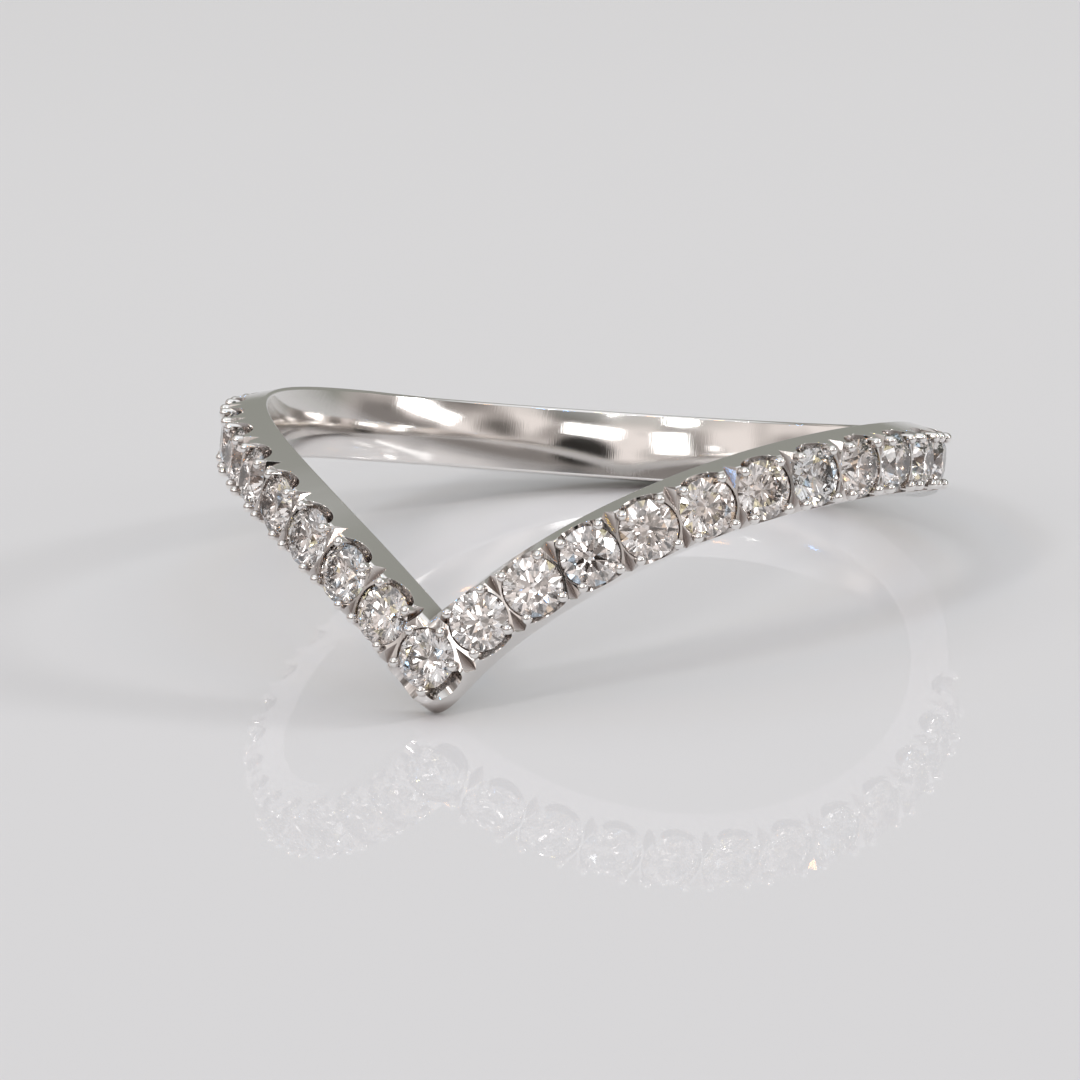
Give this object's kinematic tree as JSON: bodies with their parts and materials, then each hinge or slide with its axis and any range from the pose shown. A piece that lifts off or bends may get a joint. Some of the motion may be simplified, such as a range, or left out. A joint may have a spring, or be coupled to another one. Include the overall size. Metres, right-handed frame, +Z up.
{
  "type": "chevron ring",
  "caption": "Finger ring whose narrow white metal band runs in a deep V at the front, set with one row of small round brilliants held by split prongs.",
  "frame": {"origin": "middle of the outline, seen from above, at the height of the surface that the ring lies on", "axes": "+Z up from the surface, +Y from the point of the V towards the plain back, +X to the right-hand arm as seen from the front"},
  "size_m": [0.019, 0.0203, 0.0056],
  "materials": {
    "metal": "polished white gold",
    "stone": "clear cut stone"
  },
  "bodies": {
    "root": {"band": "metal", "stone_tip": "stone", "stone_right_01": "stone", "stone_right_02": "stone", "stone_right_03": "stone", "stone_right_04": "stone", "stone_right_05": "stone", "stone_right_06": "stone", "stone_right_07": "stone", "stone_right_08": "stone", "stone_right_09": "stone", "stone_right_10": "stone", "stone_right_11": "stone", "stone_left_01": "stone", "stone_left_02": "stone", "stone_left_03": "stone", "stone_left_04": "stone", "stone_left_05": "stone", "stone_left_06": "stone", "stone_left_07": "stone", "stone_left_08": "stone", "stone_left_09": "stone", "stone_left_10": "stone", "stone_left_11": "stone"}
  },
  "joints": []
}
